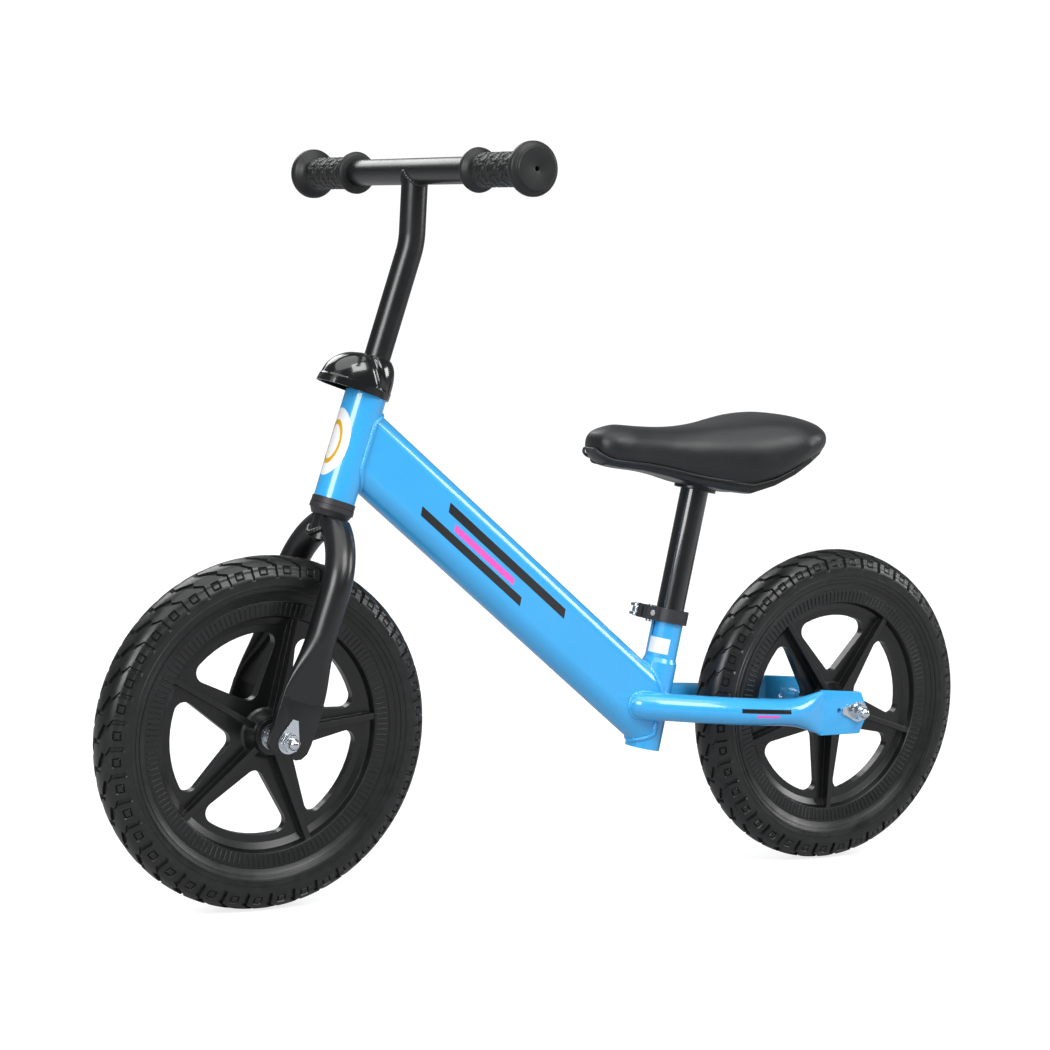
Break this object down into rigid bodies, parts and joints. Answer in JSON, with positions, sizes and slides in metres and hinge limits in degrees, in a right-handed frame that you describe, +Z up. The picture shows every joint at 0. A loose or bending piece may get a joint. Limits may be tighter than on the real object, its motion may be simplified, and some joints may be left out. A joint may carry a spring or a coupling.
{
  "type": "balance bike",
  "caption": "Child's balance bike: oval down tube, solid foam tyres on spoked moulded rims, bent stem with straight grips, and a quick-release saddle post.",
  "frame": {"origin": "on the floor, at the bottom centre of the bike's outer box", "axes": "+X forward, +Y to the rider's left, +Z up"},
  "size_m": [0.886, 0.382, 0.6356],
  "materials": {
    "frame_paint": "gloss sky blue enamel on steel",
    "fork_paint": "satin black enamel on steel",
    "gloss_black_paint": "gloss black enamel on steel",
    "black_oxide_steel": "black oxide on steel",
    "zinc_steel": "bright zinc plate",
    "bearing_steel": "ground bearing steel",
    "black_plastic": "moulded nylon",
    "cover_plastic": "gloss moulded ABS",
    "grip_rubber": "moulded rubber with raised blocks",
    "tyre_foam": "moulded foam with a skin",
    "saddle_cover": "smooth synthetic leather over foam"
  },
  "bodies": {
    "frame": {"head_tube": "frame_paint", "down_tube": "frame_paint", "seat_tube": "frame_paint", "left_rear_stay": "frame_paint", "right_rear_stay": "frame_paint", "upper_headset_cup": "black_oxide_steel", "lower_headset_cup": "black_oxide_steel", "seat_collar": "gloss_black_paint", "collar_barrel_nut": "zinc_steel", "collar_skewer": "zinc_steel", "collar_pivot_pin": "zinc_steel", "cam_washer": "black_plastic", "rear_axle": "zinc_steel", "rear_axle_spacers": "zinc_steel", "rear_bearing_inner_rings": "bearing_steel", "rear_tab_washers": "zinc_steel", "rear_axle_nuts": "zinc_steel"},
    "lever": {"quick_release_lever": "gloss_black_paint"},
    "fork": {"steerer_tube": "fork_paint", "left_fork_leg": "fork_paint", "right_fork_leg": "fork_paint", "crown_race": "black_oxide_steel", "headset_balls": "bearing_steel", "adjusting_race": "black_oxide_steel", "headset_lock_nut": "zinc_steel", "stem_clamp": "black_oxide_steel", "stem_clamp_bolt": "zinc_steel", "stem_clamp_nut": "zinc_steel", "stem_cover": "cover_plastic", "front_axle": "zinc_steel", "front_axle_spacers": "zinc_steel", "front_bearing_inner_rings": "bearing_steel", "front_tab_washers": "zinc_steel", "front_axle_nuts": "zinc_steel"},
    "handlebar": {"stem": "gloss_black_paint", "handlebar": "gloss_black_paint", "left_grip": "grip_rubber", "right_grip": "grip_rubber"},
    "front_wheel": {"front_tyre": "tyre_foam", "front_rim": "black_plastic", "front_bearing_outer_rings": "bearing_steel", "front_bearing_balls": "bearing_steel"},
    "rear_wheel": {"rear_tyre": "tyre_foam", "rear_rim": "black_plastic", "rear_bearing_outer_rings": "bearing_steel", "rear_bearing_balls": "bearing_steel"},
    "seat": {"seat_post": "gloss_black_paint", "saddle_pan": "black_plastic", "saddle_cushion": "saddle_cover", "saddle_bolt": "zinc_steel"}
  },
  "joints": [
    {"name": "steer", "type": "hinge", "parent": "frame", "child": "fork", "pos_m": [0.29475, 0, 0.147], "axis": [-0.274, 0, 0.9617], "continuous": true},
    {"name": "bar_height", "type": "slide", "parent": "fork", "child": "handlebar", "axis": [-0.274, 0, 0.9617], "range_m": [-0.06, 0.01]},
    {"name": "front_wheel_spin", "type": "hinge", "parent": "fork", "child": "front_wheel", "pos_m": [0.296, 0, 0.147], "axis": [0, 1, 0], "continuous": true},
    {"name": "rear_wheel_spin", "type": "hinge", "parent": "frame", "child": "rear_wheel", "pos_m": [-0.296, 0, 0.147], "axis": [0, 1, 0], "continuous": true},
    {"name": "seat_height", "type": "slide", "parent": "frame", "child": "seat", "axis": [-0.1736, 0, 0.9848], "range_m": [-0.075, 0.01]},
    {"name": "seat_lever", "type": "hinge", "parent": "frame", "child": "lever", "pos_m": [-0.08341, -0.017, 0.23917], "axis": [-0.1736, 0, 0.9848], "range_deg": [0, 150]}
  ]
}
